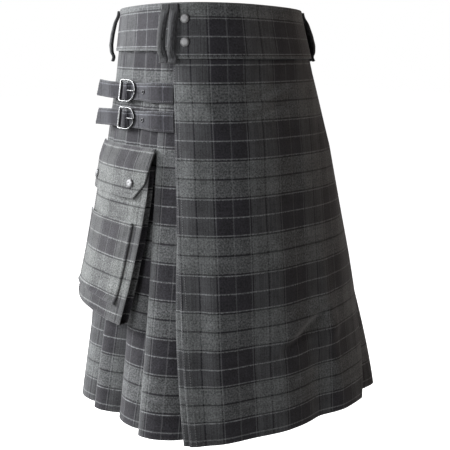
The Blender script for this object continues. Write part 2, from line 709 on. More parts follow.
# height of each light line on the pleats, a little above the apron's, and its
# place in the cloth
PLEAT_CHECK = np.array(
    [
        (-0.6730, -6 * CHECK_SIZE),
        (-0.5665, -5 * CHECK_SIZE),
        (-0.4610, -4 * CHECK_SIZE),
        (-0.3560, -3 * CHECK_SIZE),
        (-0.2500, -2 * CHECK_SIZE),
        (-0.0590, -0.0245),
        (0.0450, 0.0795),
    ]
)
START_WAIST, START_HEM_RIGHT, START_HEM_LEFT = 51.4, 51.4, 25.0
CENTRE_WAIST, CENTRE_HEM_RIGHT, CENTRE_HEM_LEFT = 180.0, 193.6, 166.4
CENTRE_LAP = 0.007  # how far the right side's last edge runs behind the left side's
PLEAT_SEWN_TOP = -0.005  # the sewn edge, hidden inside the waistband
PRESSED_FROM, PRESSED_TO = -0.034, -0.020  # above here the faces lie against the band
PLEAT_RIPPLE, PLEAT_BELLY = 0.0012, 0.0060  # at the hem
# steps of cloth between the corners of one pleat: face, nose and hidden layers
FACE_STEPS, NOSE_STEPS, HIDDEN_STEPS, DEEP_STEPS = 5, 2, 3, 2


def pleat_row(folds, side, start, centre, z):
    """Corners of one level line through the pleats, each with its fold and the steps after it."""
    spread, unit = float(opened(z)), float(per_degree(z))
    layer = mix(LAYER_WAIST, LAYER_HEM, spread)
    pressed = float(ramp(PRESSED_FROM, PRESSED_TO, z))
    nose = min(layer / 2, 0.003) / unit

    def fold(i):
        waist_az, hem_az, _, _, sway = folds[i]
        return mix(waist_az, hem_az, spread) + sway * spread * math.sin(z * 9.0 + i * 1.7)

    def edge(i):
        wave = PLEAT_RIPPLE * spread * math.sin(z * 13.0 + i * 2.1)
        return WOOL / 2 + 0.0001 - folds[i][2] * spread + wave

    line = []
    valley_at, valley = start, float(start_depth(z))
    for i in range(len(folds)):
        following = fold(i + 1) - fold(i) if i < len(folds) - 1 else fold(i) - fold(i - 1)
        pitch = fold(i) - valley_at
        width = following if i == 0 else pitch
        tuck = min(0.86 * width, (PLEAT_CLOTH / unit - width) / 2)
        slope = (valley - edge(i)) / pitch
        # face, from the fold before to this one's nose
        line.append((valley_at, valley, i, FACE_STEPS))
        if i == 0 and side > 0:
            # the left side's first face only rises past the apron's edge
            belly, left = 0.0, float(apron_left(z))
            corners = [(left, mix(0.0, 0.92, pressed)), (mix(left, fold(i), 0.5), mix(0.5, 0.95, pressed))]
        else:
            belly = PLEAT_BELLY * spread
            corners = [
                (valley_at + pitch * mix(0.36, 0.12, pressed), mix(0.36, 0.92, pressed)),
                (valley_at + pitch * 0.72, mix(0.72, 0.95, pressed)),
            ]
        for place, risen in corners:
            line.append((place, valley - slope * pitch * risen - belly, i, FACE_STEPS))
        # nose and the two hidden layers behind the face
        deep = edge(i) + slope * tuck
        line += [
            (fold(i), edge(i), i, NOSE_STEPS),
            (fold(i) + nose, edge(i) + layer / 2, i, NOSE_STEPS),
            (fold(i), edge(i) + layer, i, HIDDEN_STEPS),
            (fold(i) - tuck, deep + layer, i, DEEP_STEPS),
            (fold(i) - tuck - nose, deep + layer * 1.5, i + 1, DEEP_STEPS),
            (fold(i) - tuck, deep + layer * 2, i + 1, HIDDEN_STEPS),
        ]
        valley_at, valley = fold(i), edge(i) + layer * 2
    line.append((valley_at, valley, len(folds), FACE_STEPS))
    behind = WOOL + SEAM if side < 0 else 0.0
    line.append((centre - SEAM / 2 / unit, valley + behind, len(folds), FACE_STEPS))
    if side < 0:
        line.append((centre + CENTRE_LAP / unit, valley + behind + SEAM, len(folds), FACE_STEPS))
    return line


def pleat_sheet(name, folds, side, hem_start, hem_centre):
    rows = stations(PLEAT_SEWN_TOP, HEM, 0.0045)
    grids = []
    for z in rows:
        start = mix(START_WAIST, hem_start, float(opened(z)))
        centre = mix(CENTRE_WAIST, hem_centre, float(opened(z)))
        line = pleat_row(folds, side, start, centre, z)
        fine = []
        for (az0, in0, owner, steps), (az1, in1, _, _) in zip(line[:-1], line[1:]):
            fine += [(mix(az0, az1, k / steps), mix(in0, in1, k / steps), owner) for k in range(steps)]
        fine.append(line[-1][:3])
        grids.append(fine)
    table = np.array(grids)
    z = rows[:, None] + 0.0 * table[:, :, 0]
    points = at(side * table[:, :, 0], z, table[:, :, 1])
    # the corners are rounded off, and the first edge gets a close row of points
    for _ in range(2):
        points[:, 1:-1] = points[:, :-2] * 0.25 + points[:, 1:-1] * 0.5 + points[:, 2:] * 0.25
    extra = np.stack([points[:, 0], points[:, 0] * 0.7 + points[:, 1] * 0.3], 1)
    points = np.concatenate([extra, points[:, 1:]], 1)
    owner = np.concatenate([table[0, :1, 2], table[0, :, 2]])
    length = along(points)
    u = np.zeros_like(length)
    for i in range(len(folds) + 1):
        cols = np.where(owner == i)[0]
        corner, phase = cols[0], 0.0
        if i < len(folds):
            before = 1 if i == 0 else DEEP_STEPS + HIDDEN_STEPS
            corner, phase = cols[before + 3 * FACE_STEPS + NOSE_STEPS // 2], folds[i][3]
        u[:, cols] = phase + length[:, cols] - length[:, corner : corner + 1]
    v = np.interp(rows, PLEAT_CHECK[:, 0], PLEAT_CHECK[:, 1])
    uv = np.stack([u, v[:, None] + 0.0 * u], -1)
    return shell(name, *outside(points, uv), WOOL)


PLEAT_WOOL = wool("pleat_wool")
right_pleats = pleat_sheet(
    "right_pleats_cloth", RIGHT_FOLDS, -1, START_HEM_RIGHT, CENTRE_HEM_RIGHT
)
left_pleats = pleat_sheet(
    "left_pleats_cloth", LEFT_FOLDS, 1, START_HEM_LEFT, CENTRE_HEM_LEFT
)
for piece, where in ((right_pleats, "right"), (left_pleats, "left")):
    cloth(
        piece,
        [f"pleats_{where}_front", f"pleats_{where}_middle", f"pleats_{where}_back"],
        "tartan_wool",
        PLEAT_WOOL,
        flat=(0.86, 0.58),
        held="gathered",
        rests_on=["waistband_cloth"],
    )

# Waistband
# One doubled strip of the wool, cut along the check, that laps over itself at
# the wearer's right front. Its edges are turned in and topstitched.
DOUBLE = 0.0024  # two thicknesses sewn together
# azimuth, how far the outer face stands out, height of the lower edge
BAND = np.array(
    [
        (-62.0, 0.0062, -0.045),
        (-50.0, 0.0058, -0.045),
        (-36.0, 0.0033, -0.045),
        (0.0, 0.0033, -0.046),
        (66.0, 0.0033, -0.046),
        (92.0, 0.0033, -0.036),
        (180.0, 0.0033, -0.034),
        (300.0, 0.0033, -0.034),
        (314.0, 0.0024, -0.034),
        (328.0, -0.0008, -0.034),
        (414.0, -0.0008, -0.034),
    ]
)
# height of its light line where it laps over and at the back
BAND_CHECK, BAND_CHECK_FAR = -0.014, -0.003
BAND_CHECK_START = -0.078  # place of its end in the check
BAND_FULL, BAND_PUCKER = 0.0004, 0.00018  # how full its edges are, and how they pucker


def band_out(az):
    return np.interp(az, BAND[:, 0], BAND[:, 1])


band_az = stations(-62.0, 414.0, 1.25, 0.3)
band_s = stations(0.0, 1.0, 1.0 / 26, 0.012)
band_foot = np.interp(band_az, BAND[:, 0], BAND[:, 2])
band_z = mix(RIM, band_foot[None, :], band_s[:, None])
band_grid = band_az[None, :] + 0.0 * band_z
# the doubled edges are a little fuller than the middle
band_edge = (0.5 - np.abs(band_s[:, None] - 0.5) - 0.03) / 0.05
band_full = BAND_FULL * np.exp(-band_edge ** 2)
band_pucker = BAND_PUCKER * np.sin(np.radians(band_grid) * 95.0) * np.abs(band_s[:, None] * 2 - 1) ** 3
band_mid = at(band_grid, band_z, DOUBLE / 2 - band_out(band_grid) - band_full - band_pucker)
band_u = along(band_mid[:1])[0] + BAND_CHECK_START
band_line = mix(BAND_CHECK, BAND_CHECK_FAR, ramp(60.0, 200.0, band_az))
band_uv = np.stack([band_u[None, :] + 0.0 * band_z, band_z - band_line[None, :]], -1)
band = shell("waistband_cloth", *outside(band_mid, band_uv), DOUBLE)
TRIM_WOOL = wool("trim_wool", shade=1.08)
cloth(
    band,
    ["waistband"],
    "tartan_trim",
    TRIM_WOOL,
    flat=(1.10, 0.145),
    held="folded",
    area=0.0795,
)

# Belt loops
# Folded strips of the wool, sewn down at the top rim and below the band, that
# bow away from it: pairs at both sides of the front, one behind each hip and
# one at the centre back.
LOOPS = [
    # name, azimuth, how far the band stands out there
    ("right_front_outer", -66.0, 0.0038),
    ("right_front_inner", -59.5, 0.0062),
    ("left_front_inner", 52.0, 0.0033),
    ("left_front_outer", 58.5, 0.0037),
    ("right_back", -130.0, 0.0033),
    ("left_back", 130.0, 0.0033),
    ("centre_back", 180.0, 0.0033),
]
LOOP_TOP, LOOP_BOTTOM = 0.031, -0.051
LOOP_WIDTH, LOOP_THICK = 0.0130, 0.0040
LOOP_CURL = 0.0034  # how far its edges curl back where it bows most
# place in the check, from one loop's place to the next, share of its length shown
LOOP_CHECK_U, LOOP_CHECK_V, LOOP_CHECK_NEXT, LOOP_CHECK_SHARE = 0.034, 0.014, 0.002, 0.25
# height, and how far it bows away from the band
LOOP_BOW = np.array(
    [
        (-0.051, 0.0026),
        (-0.047, 0.0012),
        (-0.043, 0.0008),
        (-0.037, 0.0056),
        (-0.024, 0.0084),
        (-0.006, 0.0080),
        (0.013, 0.0052),
        (0.024, 0.0003),
        (0.031, 0.0),
    ]
)


def smooth_table(table, values):
    """Value of a two-column table, with its corners rounded off."""
    fine = np.linspace(table[0, 0], table[-1, 0], 200)
    out = np.interp(fine, table[:, 0], table[:, 1])
    for _ in range(36):
        out[1:-1] = out[:-2] * 0.25 + out[1:-1] * 0.5 + out[2:] * 0.25
    return np.interp(values, fine, out)


def loop_axes(az):
    """Which way is sideways and which is outwards at a loop."""
    x, y = math.sin(math.radians(az)), -math.cos(math.radians(az))
    return np.array([-y, x, 0.0]), np.array([x, y, 0.0])


def loop_form(z, number):
    """A loop's bow, width and lean to one side at those heights."""
    width = LOOP_WIDTH * (1.0 - 0.10 * np.sin((z + 0.05) / 0.08 * math.pi))
    return smooth_table(LOOP_BOW, z), width, 0.0012 * np.sin(z * 60.0 + number * 1.3)


def loop_curl(place, bow):
    """How far the loop stands out at a place from -0.5 to 0.5 across it: back at its edges."""
    return -LOOP_CURL * (np.abs(place) * 2) ** 2.2 * (bow / LOOP_BOW[:, 1].max())


LOOP_WOOL = wool("loop_wool", shade=0.70, heather=1.3)
loop_z = stations(LOOP_TOP, LOOP_BOTTOM, 0.0016)
loop_s = stations(-0.5, 0.5, 0.1, 0.07)
for number, (loop_name, loop_az, loop_seat) in enumerate(LOOPS):
    bow, width, lean = loop_form(loop_z, number)
    side, out = loop_axes(loop_az)
    spine = at(loop_az, loop_z, -(loop_seat + SEAM + LOOP_THICK / 2 + bow))
    across = loop_s[None, :] * width[:, None] + lean[:, None]
    curl = loop_curl(loop_s[None, :], bow[:, None])
    grid = spine[:, None, :] + side * across[..., None] + out * curl[..., None]
    # each is cut at another place of the check
    loop_from = LOOP_CHECK_U + number * LOOP_CHECK_NEXT
    loop_u = loop_s[None, :] * LOOP_WIDTH + loop_from + 0.0 * grid[..., 0]
    loop_uv = np.stack([loop_u, grid[..., 2] * LOOP_CHECK_SHARE + LOOP_CHECK_V], -1)
    piece = shell(f"loop_{loop_name}_cloth", *outside(grid, loop_uv), LOOP_THICK)
    cloth(
        piece,
        [f"belt_loop_{loop_name}"],
        "tartan_trim",
        LOOP_WOOL,
        flat=(0.022, 0.090),
        held="folded",
        rests_on=["waistband_cloth"],
        area=0.00098,
    )

# Hip straps
# Two doubled straps of the wool. Each is caught in the seam at the apron's
# edge, runs back over the hip, bulges up over the buckle's centre bar and ends
# in a free tail that is cut slanting and frays a little.
STRAPS = [
    # name, top, bottom, azimuth where it leaves the hip, how far its tail turns up
    ("upper", -0.0805, -0.1055, 84.5, 0.0022),
    ("lower", -0.1205, -0.1455, 83.5, -0.00132),
]
STRAP_FULL = 0.0018  # how much wider to each side the strap is on the hip
STRAP_TAIL, STRAP_SLANT = 0.112, 0.007  # length past the hip, slant of the cut end
STRAP_START = 0.3  # degrees from the apron's edge
STRAP_HIP = np.linspace(0.0, 1.0, 26)[:-1]  # shares of its way over the hip
STRAP_LOOSE = 0.055  # past the buckle the strap hangs loose
STRAP_CUT, STRAP_FRAY = 0.10, (0.0009, 0.0005)  # where the cut end begins, and its fray
STRAP_CHECK_U, STRAP_CHECK_V = -0.017, 0.029  # place of its upper start in the check
# azimuth, and how far the strap stands out from the pleats
STRAP_DIP = np.array([(62.0, 0.0014), (66.0, 0.0026), (70.0, 0.0038), (80.0, 0.0036), (90.0, 0.0032)])
STRAP_UNDER, STRAP_OVER = 0.0029, 0.0030  # to the buckle's middle, and over its bar
# from the hip to the frame, the frame's length and height, its bars' width and
# thickness, and from its far end to the centre bar and to the bow
BUCKLE_NEAR, BUCKLE_LENGTH, BUCKLE_HEIGHT = 0.012, 0.041, 0.034
BUCKLE_BAR, BUCKLE_THICK, BUCKLE_MIDDLE, BUCKLE_TURN = 0.0026, 0.0026, 0.020, 0.022


def strap_dip(az):
    return np.interp(az, STRAP_DIP[:, 0], STRAP_DIP[:, 1])


def strap_leaving(leave, z):
    """Where a strap leaves the hip at that height, which way it goes on and outwards."""
    leaving = at(-leave, z, DOUBLE / 2 - strap_dip(leave))
    before = at(-leave + 0.5, z, DOUBLE / 2 - strap_dip(leave))
    forward = (leaving - before) / np.linalg.norm(leaving - before)
    out = np.array([-forward[1], forward[0], 0.0])
    return leaving, forward, out if float(out @ leaving) > 0 else -out


def strap_rise(distance):
    """Rise of a strap over the centre bar, at a distance from where it leaves the hip."""
    bar = BUCKLE_NEAR + BUCKLE_LENGTH - BUCKLE_MIDDLE + BUCKLE_BAR / 2
    up = ramp(bar - 0.0102, bar - 0.0016, distance)
    down = ramp(bar + 0.0126, bar + 0.0016, distance)
    return (STRAP_UNDER + STRAP_OVER) * np.where(distance < bar, up, down)


def strap_on_hip(top, bottom, leave, s):
    """Azimuth and height of a line on a strap, from the apron's edge to where it leaves."""
    z = mix(top, bottom, s)
    away = mix(STRAP_START - float(apron_right(z)), leave, STRAP_HIP)
    return away, z + STRAP_FULL * (1 - 2 * s) * ramp(1.0, 0.5, STRAP_HIP)


def strap_past_hip(leave, z, s, distance, longer, lift, turn_up):
    """The same line beyond the hip, at those distances, and which way is outwards."""
    leaving, forward, out = strap_leaving(leave, z)
    points = leaving + forward * (distance + longer)[:, None]
    points = points + out * (strap_rise(distance) + lift)[:, None]
    # the tail turns up or down and curls a little, and its middle is fuller
    loose = np.clip((distance - STRAP_LOOSE) / (STRAP_TAIL - STRAP_LOOSE), 0.0, 1.0)
    points[:, 2] += turn_up * loose * loose
    full = 0.0010 * np.sin(loose * math.pi * 1.4) + 0.0006 * (1 - (2 * s - 1) ** 2) * loose
    return points + out * full[:, None], out


def strap_surface(az, z):
    """Point of a strap's outer face on the hip."""
    return at(az, z, -strap_dip(-az))


STRAP_WOOL = wool("strap_wool", tint=(0.97, 0.96, 1.06), shade=0.72, heather=1.1)
strap_free = np.concatenate([np.linspace(0.0, 0.050, 42), np.linspace(0.052, STRAP_TAIL, 30)])
strap_free = np.append(strap_free[:-1], [STRAP_TAIL - 0.0009, STRAP_TAIL - 0.0003, STRAP_TAIL])
strap_across = stations(0.0, 1.0, 0.08, 0.035)
for number, (strap_name, strap_top, strap_bottom, strap_leave, turn_up) in enumerate(STRAPS):
    rows = []
    for s in strap_across:
        away, hip_z = strap_on_hip(strap_top, strap_bottom, strap_leave, s)
        hip = at(-away, hip_z, DOUBLE / 2 - strap_dip(away))
        # the end is cut slanting and frays
        frayed = STRAP_FRAY[0] * math.sin(s * 37.0 + number) + STRAP_FRAY[1] * math.sin(s * 83.0)
        end = np.clip((strap_free - STRAP_CUT) / (STRAP_TAIL - STRAP_CUT), 0.0, 1.0)
        longer = (STRAP_SLANT * s + frayed) * end
        z = mix(strap_top, strap_bottom, s)
        free, _ = strap_past_hip(strap_leave, z, s, strap_free, longer, 0.0, turn_up)
        rows.append(np.concatenate([hip, free]))
    grid = np.array(rows)
    strap_v = STRAP_CHECK_V - strap_across[:, None] * (strap_top - strap_bottom) + 0.0 * grid[..., 0]
    strap_uv = np.stack([along(grid) + STRAP_CHECK_U, strap_v], -1)
    piece = shell(f"strap_{strap_name}_cloth", *outside(grid, strap_uv), DOUBLE)
    cloth(
        piece,
        [f"strap_{strap_name}"],
        "tartan_trim",
        STRAP_WOOL,
        flat=(0.180, 0.052),
        held="folded",
        rests_on=["right_pleats_cloth"],
        area=0.0048,
    )

# Buckle tabs
# A short tab of the wool under each strap, sewn to the hip. It holds the
# buckle by its centre bar.
TAB_SEAT, TAB_LEAVE = 121.0, 111.0  # sewn to the hip between these azimuths
TAB_DROP = 0.0063  # how far below the buckle's middle it passes the far bar
TAB_NARROW = 0.002  # how much narrower it is to each side than the strap


def buckle_frame(leave, top, bottom):
    """Origin and axes in the plane of a strap's free part: back, up and out."""
    one, one_forward, _ = strap_leaving(leave, top)
    two, two_forward, _ = strap_leaving(leave, bottom)
    forward = one_forward + two_forward
    forward /= np.linalg.norm(forward)
    rise = one - two
    rise -= forward * float(rise @ forward)
    rise /= np.linalg.norm(rise)
    back = -forward
    out = np.cross(back, rise)
    out /= np.linalg.norm(out)
    origin = (one + two) / 2 + forward * (BUCKLE_NEAR + BUCKLE_LENGTH)
    return origin, back, rise, out


TAB_WOOL = wool("tab_wool", shade=0.7)
for strap_name, strap_top, strap_bottom, strap_leave, _ in STRAPS:
    origin, back, rise, out = buckle_frame(strap_leave, strap_top, strap_bottom)
    half = (strap_top - strap_bottom) / 2 - TAB_NARROW
    below = BUCKLE_THICK / 2 + SEAM + WOOL / 2
    rows = []
    for s in stations(1.0, -1.0, 0.2, 0.08):
        z = (strap_top + strap_bottom) / 2 + half * s
        seat = at(-np.linspace(TAB_SEAT, TAB_LEAVE, 8), z, -(2 * SEAM + WOOL / 2))
        corners = [seat[-1]]
        for x, up in (
            (BUCKLE_BAR, TAB_DROP),
            (BUCKLE_MIDDLE - BUCKLE_BAR - 0.001, below),
            (BUCKLE_MIDDLE, below),
        ):
            point = origin + back * x + rise * half * s + out * (STRAP_UNDER - up)
            corners.append(np.array([point[0], point[1], z]))
        line = [seat[:-1]]
        for a, b in zip(corners[:-1], corners[1:]):
            line.append(np.array([mix(a, b, t) for t in np.linspace(0, 1, 7)[:-1]]))
        line = np.concatenate(line + [corners[-1][None, :]])
        for _ in range(3):
            line[1:-1] = line[:-2] * 0.25 + line[1:-1] * 0.5 + line[2:] * 0.25
        rows.append(line)
    grid = np.array(rows)
    tab_uv = np.stack([along(grid), check_v(grid[..., 2])], -1)
    piece = shell(f"tab_{strap_name}_cloth", *outside(grid, tab_uv), WOOL)
    cloth(
        piece,
        [f"buckle_tab_{strap_name}"],
        "tartan_trim",
        TAB_WOOL,
        flat=(0.064, 0.021),
        held="folded",
        rests_on=["right_pleats_cloth"],
    )

# Buckles
# Nickelled cast frames shaped like a D: a straight far bar, a bowed near side
# and a centre bar, with a thin steel prong that rests on the bowed side.
NICKEL_PALE, NICKEL_DARK = (0.12, 0.12, 0.122), (0.035, 0.035, 0.035)
BUCKLE_CORNER = 0.0032  # radius of the corners by the far bar
# half the thickness and half the width of each bar
BOW_BAR, FAR_BAR, CENTRE_BAR = (0.00135, 0.0012), (0.0012, 0.0023), (0.00115, 0.0013)
BAR_SQUARE = 0.8  # below 1 a bar's section is squarer than an oval
PRONG_RADIUS, PRONG_ROOT = 0.0011, 0.025  # its root stands this far from the far bar
HARD_CREASE = 50.0  # degrees past which an edge of the metal shows as a corner


def metal(name, pale, dark, rough=0.28):
    """Plated metal, dulled and darker in patches and scratched a little."""
    material = bpy.data.materials.new(name)
    material.use_nodes = True
    tree = material.node_tree
    skin = tree.nodes["Principled BSDF"]
    where = node(tree, "ShaderNodeTexCoord")
    patch = node(tree, "ShaderNodeTexNoise")
    feed(tree, patch.inputs["Vector"], where.outputs["Object"])
    patch.inputs["Scale"].default_value = 260.0
    patch.inputs["Detail"].default_value = 5.0
    scratch = node(tree, "ShaderNodeTexNoise")
    feed(tree, scratch.inputs["Vector"], where.outputs["Object"])
    scratch.inputs["Scale"].default_value = 1400.0
    scratch.inputs["Distortion"].default_value = 1.2
    amount = calc(tree, "MULTIPLY_ADD", patch.outputs[0], 2.4, -0.85)
    clamp = node(tree, "ShaderNodeClamp")
    feed(tree, clamp.inputs[0], amount)
    colour = blend_colours(tree, "MIX", clamp.outputs[0], pale + (1.0,), dark + (1.0,))
    feed(tree, skin.inputs["Base Color"], colour)
    skin.inputs["Metallic"].default_value = 1.0
    feed(tree, skin.inputs["Roughness"], calc(tree, "MULTIPLY_ADD", scratch.outputs[0], 0.25, rough - 0.1))
    bump = node(tree, "ShaderNodeBump")
    bump.inputs["Strength"].default_value = 0.15
    bump.inputs["Distance"].default_value = 0.0002
    feed(tree, bump.inputs["Height"], scratch.outputs[0])
    feed(tree, skin.inputs["Normal"], bump.outputs[0])
    return material


def tube(path, radii_out, radii_side, outward, closed, sides=14):
    """Bar with an oval section along a path: returns points and faces."""
    path = np.asarray(path, float)
    count = len(path)
    if closed:
        forward = np.roll(path, -1, 0) - np.roll(path, 1, 0)
    else:
        forward = np.gradient(path, axis=0)
    forward /= np.linalg.norm(forward, axis=1, keepdims=True)
    up = outward - forward * (forward @ outward)[:, None]
    up /= np.linalg.norm(up, axis=1, keepdims=True)
    side = np.cross(forward, up)
    turn = np.arange(sides) * math.tau / sides
    cos, sin = np.cos(turn), np.sin(turn)
    cos, sin = np.sign(cos) * np.abs(cos) ** BAR_SQUARE, np.sign(sin) * np.abs(sin) ** BAR_SQUARE
    radii_out = np.broadcast_to(radii_out, (count,))
    radii_side = np.broadcast_to(radii_side, (count,))
    ring = (
        path[:, None, :]
        + up[:, None, :] * (sin[None, :] * radii_out[:, None])[..., None]
        + side[:, None, :] * (cos[None, :] * radii_side[:, None])[..., None]
    )
    verts = ring.reshape(-1, 3)
    faces = []
    for i in range(count if closed else count - 1):
        n = (i + 1) % count
        for k in range(sides):
            m = (k + 1) % sides
            faces.append((i * sides + k, n * sides + k, n * sides + m, i * sides + m))
    if not closed:
        faces.append(tuple(range(sides)))
        faces.append(tuple((count - 1) * sides + k for k in range(sides))[::-1])
    return verts, faces


def merged(parts):
    verts, faces, base = [], [], 0
    for v, f in parts:
        verts.append(v)
        faces += [tuple(i + base for i in face) for face in f]
        base += len(v)
    return np.concatenate(verts), faces


def outwards_mesh(piece):
    """Turns all the faces of each closed part outwards."""
    work = bmesh.new()
    work.from_mesh(piece.data)
    bmesh.ops.recalc_face_normals(work, faces=work.faces)
    work.to_mesh(piece.data)
    work.free()


def hardware(name, parts, nodes, material):
    verts, faces = merged(parts)
    mesh = bpy.data.meshes.new(name)
    mesh.from_pydata(verts.tolist(), [], faces)
    mesh.polygons.foreach_set("use_smooth", np.ones(len(mesh.polygons), dtype=bool))
    piece = bpy.data.objects.new(name, mesh)
    bpy.context.collection.objects.link(piece)
    outwards_mesh(piece)
    piece.data.set_sharp_from_angle(angle=math.radians(HARD_CREASE))
    piece.data.materials.append(material)
    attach(piece, "root")
    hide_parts(*nodes)


BUCKLE_METAL = metal("buckle_nickel", NICKEL_PALE, NICKEL_DARK)
for strap_name, strap_top, strap_bottom, strap_leave, _ in STRAPS:
    origin, back, rise, out = buckle_frame(strap_leave, strap_top, strap_bottom)

    def place(x, y, z):
        x, y, z = np.broadcast_arrays(np.asarray(x, float), np.asarray(y, float), np.asarray(z, float))
        return origin + x[..., None] * back + y[..., None] * rise + z[..., None] * out

    half_height = BUCKLE_HEIGHT / 2 - BUCKLE_BAR / 2
    half_bar = BUCKLE_BAR / 2
    bow = np.linspace(-math.pi / 2, math.pi / 2, 31)
    near_x = BUCKLE_TURN + (BUCKLE_LENGTH - BUCKLE_TURN - half_bar) * np.cos(bow)
    near_y = half_height * np.sin(bow)
    side_x = np.linspace(0.0045, BUCKLE_TURN, 8)[:-1]
    corner = np.linspace(0.0, math.pi / 2, 5)
    corner_x = half_bar + BUCKLE_CORNER - BUCKLE_CORNER * np.cos(corner)
    corner_y = half_height - BUCKLE_CORNER + BUCKLE_CORNER * np.sin(corner)
    far_y = np.linspace(half_height - BUCKLE_CORNER, -(half_height - BUCKLE_CORNER), 12)[1:-1]
    outline = np.concatenate(
        [
            np.stack([near_x, near_y], 1),
            np.stack([side_x[::-1], 0.0 * side_x + half_height], 1),
            np.stack([corner_x[::-1], corner_y[::-1]], 1),
            np.stack([0.0 * far_y + half_bar, far_y], 1),
            np.stack([corner_x, -corner_y], 1),
            np.stack([side_x, 0.0 * side_x - half_height], 1),
        ]
    )
    path = place(outline[:, 0], outline[:, 1], STRAP_UNDER)
    # the far bar is flat and broad, the bow is rounder
    flat = ramp(0.009, 0.002, outline[:, 0])
    thick, wide = mix(BOW_BAR[0], FAR_BAR[0], flat), mix(BOW_BAR[1], FAR_BAR[1], flat)
    frame_parts = [tube(path, thick, wide, out, True)]
    bar = place(BUCKLE_MIDDLE - half_bar, np.linspace(-half_height, half_height, 14), STRAP_UNDER)
    frame_parts.append(tube(bar, CENTRE_BAR[0], CENTRE_BAR[1], out, False, 12))
    hardware(f"buckle_{strap_name}_frame", frame_parts, [f"buckle_{strap_name}"], BUCKLE_METAL)

    over = STRAP_UNDER + BUCKLE_THICK / 2 + SEAM + PRONG_RADIUS
    strap_face = float(strap_rise(np.array(BUCKLE_NEAR + BUCKLE_LENGTH - PRONG_ROOT))) + DOUBLE / 2
    t = np.linspace(0.0, 1.0, 16)
    x = mix(PRONG_ROOT - 0.0005, BUCKLE_LENGTH + 0.0008, t)
    z = np.interp(
        x,
        [PRONG_ROOT, mix(PRONG_ROOT, BUCKLE_LENGTH, 0.45), BUCKLE_LENGTH - 0.0025, BUCKLE_LENGTH + 0.0008],
        [strap_face + SEAM + PRONG_RADIUS + 0.0005, over + 0.0009, over, over],
    )
    z[1:-1] = (z[:-2] + z[1:-1] * 2 + z[2:]) / 4
    radius = np.interp(t, [0.0, 0.08, 0.7, 0.95, 1.0], [0.0009, 0.00135, 0.0011, 0.0009, 0.0003])
    hardware(
        f"prong_{strap_name}",
        [tube(place(x, 0.0 * x, z), radius, radius, out, False, 12)],
        [f"buckle_prong_{strap_name}"],
        BUCKLE_METAL,
    )

# Strap eyelets
# Pressed metal rings, one on each strap between the apron and its buckle.
# The strap is not cut through inside them.
EYELET_RADIUS, EYELET_BORE, EYELET_HEIGHT = 0.0034, 0.0017, 0.0009
EYELET_AWAY = 2.2  # degrees from where the strap leaves the hip


def lathe(profile, point, direction, sides=28):
    """Closed turned body from rows of radius and height, the ends on the axis or at the bore."""
    direction = np.asarray(direction, float) / np.linalg.norm(direction)
    helper = np.array([0.0, 0.0, 1.0])
    one = np.cross(helper, direction)
    one /= np.linalg.norm(one)
    two = np.cross(direction, one)
    turn = np.arange(sides) * math.tau / sides
    verts, faces, rows = [], [], []
    for radius, height in profile:
        if radius < 1e-7:
            rows.append([len(verts)])
            verts.append(point + direction * height)
        else:
            first = len(verts)
            for angle in turn:
                around = one * math.cos(angle) + two * math.sin(angle)
                verts.append(point + direction * height + around * radius)
            rows.append(list(range(first, first + sides)))
    for low, high in zip(rows[:-1], rows[1:]):
        for k in range(sides):
            m = (k + 1) % sides
            if len(low) == 1:
                faces.append((low[0], high[k], high[m]))
            elif len(high) == 1:
                faces.append((low[k], low[m], high[0]))
            else:
                faces.append((low[k], low[m], high[m], high[k]))
    if len(rows[0]) > 1:
        low, high = rows[-1], rows[0]
        for k in range(sides):
            m = (k + 1) % sides
            faces.append((low[k], low[m], high[m], high[k]))
    return np.array(verts), faces


def seat(surface, az, z, gap):
    """Point at a gap outside a surface, and which way is outwards there."""
    across = surface(az + 1, z) - surface(az - 1, z)
    up = surface(az, z + 0.002) - surface(az, z - 0.002)
    direction = np.cross(across, up)
    direction /= np.linalg.norm(direction)
    return surface(az, z) + direction * gap, direction


EYELET_METAL = metal("eyelet_nickel", (0.075, 0.075, 0.078), (0.02, 0.02, 0.02), 0.45)
for strap_name, strap_top, strap_bottom, strap_leave, _ in STRAPS:
    middle = (strap_top + strap_bottom) / 2
    point, direction = seat(strap_surface, -(strap_leave - EYELET_AWAY), middle, SEAM)
    ring = [
        (EYELET_BORE, 0.0),
        (EYELET_RADIUS * 0.96, 0.0),
        (EYELET_RADIUS, 0.00025),
        (EYELET_RADIUS * 0.93, 0.00062),
        (EYELET_RADIUS * 0.78, 0.00086),
        (EYELET_RADIUS * 0.66, EYELET_HEIGHT),
        (EYELET_BORE * 1.12, 0.00078),
        (EYELET_BORE, 0.00055),
    ]
    hardware(
        f"eyelet_{strap_name}",
        [lathe(ring, point, direction, 24)],
        [f"strap_eyelet_{strap_name}"],
        EYELET_METAL,
    )

# Pockets
# A cargo pocket of the wool on each hip: a bellows bag with a creased gusset,
# a raised and topstitched front panel, and a doubled flap with cut corners
# that snaps shut over the mouth.
HIPS = ((-1, "right"), (1, "left"))  # which way round each hip lies
